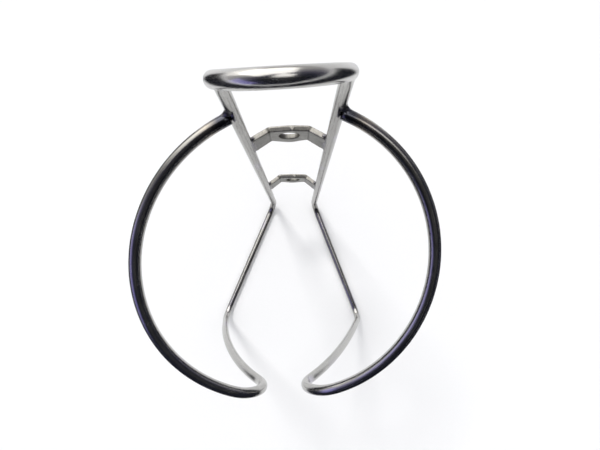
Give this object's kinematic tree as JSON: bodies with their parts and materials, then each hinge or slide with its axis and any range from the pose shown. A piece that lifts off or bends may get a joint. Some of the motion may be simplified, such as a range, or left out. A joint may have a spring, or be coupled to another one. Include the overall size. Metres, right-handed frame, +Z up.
{
  "type": "water bottle cage",
  "caption": "Polished bent-rod bicycle bottle cage with two bolt-on straps, a front-opening ring and a leaning top loop.",
  "frame": {"origin": "middle of the footprint, on the surface that the base prongs stand on", "axes": "+Z up along the bottle, -Y out of the open front, +Y toward the bike frame, +X to the right seen from the front"},
  "size_m": [0.0788, 0.082, 0.1816],
  "materials": {
    "polished_steel": "polished bright stainless rod with faint drawing lines",
    "satin_steel": "satin stamped strap, brighter on its sheared edges",
    "weld_steel": "smooth darker weld bead with a faint heat tint"
  },
  "bodies": {
    "root": {"frame_rod": "polished_steel", "lower_mounting_tab": "satin_steel", "upper_mounting_tab": "satin_steel", "weld_arm_left": "weld_steel", "weld_arm_right": "weld_steel", "weld_lower_tab_left": "weld_steel", "weld_lower_tab_right": "weld_steel", "weld_upper_tab_left": "weld_steel", "weld_upper_tab_right": "weld_steel"}
  },
  "joints": []
}
